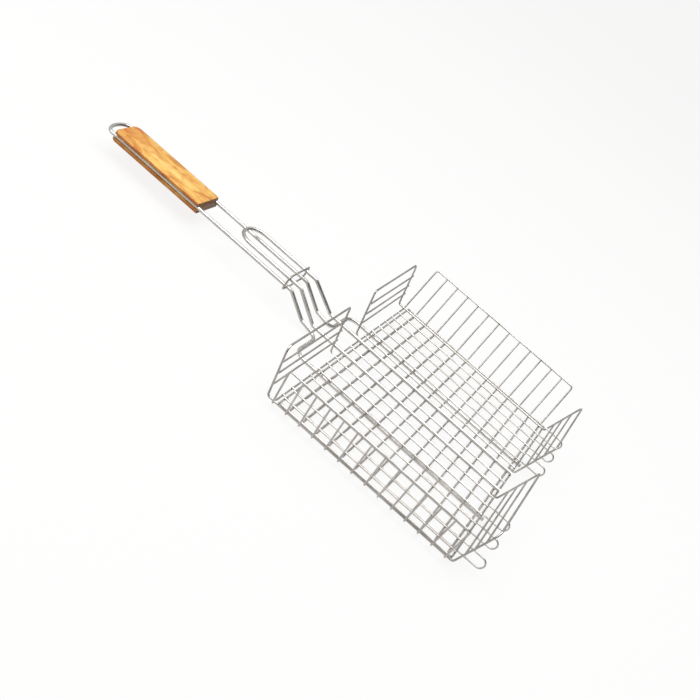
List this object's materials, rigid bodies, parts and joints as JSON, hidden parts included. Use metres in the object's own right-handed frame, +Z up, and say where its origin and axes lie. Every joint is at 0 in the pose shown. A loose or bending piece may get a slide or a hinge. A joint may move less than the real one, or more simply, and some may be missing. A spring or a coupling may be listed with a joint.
{
  "type": "grill basket",
  "caption": "Shallow wire grill basket with flared sides, a low hinged lid held by a sliding clip ring, and a long handle of bent wire with a wooden grip and hanging loop.",
  "frame": {"origin": "on the surface the basket lies on, below the middle of the whole object's box", "axes": "+X from the hanging loop along the handle to the basket's far end, +Z up, out of the basket's open side, +Y across the basket"},
  "size_m": [0.7359, 0.5264, 0.0755],
  "materials": {
    "grid_wire": "bright plated, slightly dulled",
    "lid_wire": "bright plated, slightly dulled",
    "handle_wire": "bright plated",
    "clip_wire": "bright plated",
    "grip_wood": "clear varnished, satin"
  },
  "bodies": {
    "basket": {"base_cross_wire_01": "grid_wire", "base_cross_wire_02": "grid_wire", "base_cross_wire_03": "grid_wire", "base_cross_wire_04": "grid_wire", "base_cross_wire_05": "grid_wire", "base_cross_wire_06": "grid_wire", "base_cross_wire_07": "grid_wire", "base_cross_wire_08": "grid_wire", "base_cross_wire_09": "grid_wire", "base_cross_wire_10": "grid_wire", "base_cross_wire_11": "grid_wire", "base_cross_wire_12": "grid_wire", "base_cross_wire_13": "grid_wire", "base_cross_wire_14": "grid_wire", "base_long_wire_01": "grid_wire", "base_long_wire_02": "grid_wire", "base_long_wire_03": "grid_wire", "base_long_wire_04": "grid_wire", "base_long_wire_05": "grid_wire", "base_long_wire_06": "grid_wire", "base_long_wire_07": "grid_wire", "base_long_wire_08": "grid_wire", "base_long_wire_09": "grid_wire", "base_long_wire_10": "grid_wire", "base_long_wire_11": "grid_wire", "base_long_wire_12": "grid_wire", "base_long_wire_13": "grid_wire", "base_long_wire_14": "grid_wire", "base_long_wire_15": "grid_wire", "base_long_wire_16": "grid_wire", "base_long_wire_17": "grid_wire", "base_long_wire_18": "grid_wire", "side_panel_right": "grid_wire", "side_panel_left": "grid_wire", "handle_end_panel_right": "grid_wire", "handle_end_panel_left": "grid_wire", "far_end_panel_right": "grid_wire", "far_end_panel_left": "grid_wire", "handle_wire": "handle_wire", "wooden_grip": "grip_wood"},
    "lid": {"lid_frame": "lid_wire", "lid_long_wire_01": "lid_wire", "lid_long_wire_02": "lid_wire", "lid_long_wire_03": "lid_wire", "lid_long_wire_04": "lid_wire", "lid_long_wire_05": "lid_wire", "lid_long_wire_06": "lid_wire", "lid_long_wire_07": "lid_wire", "lid_long_wire_08": "lid_wire", "lid_long_wire_09": "lid_wire", "lid_long_wire_10": "lid_wire", "lid_long_wire_11": "lid_wire", "lid_long_wire_12": "lid_wire", "lid_long_wire_13": "lid_wire", "lid_long_wire_14": "lid_wire", "lid_long_wire_15": "lid_wire", "lid_loop": "handle_wire"},
    "clip": {"clip_ring": "clip_wire"}
  },
  "joints": [
    {"name": "lid_hinge", "type": "hinge", "parent": "basket", "child": "lid", "pos_m": [0.33142, 0, 0.012], "axis": [0, 1, 0], "range_deg": [0, 105]},
    {"name": "clip_slide", "type": "slide", "parent": "basket", "child": "clip", "axis": [-1, 0, 0], "range_m": [0, 0.14]}
  ]
}
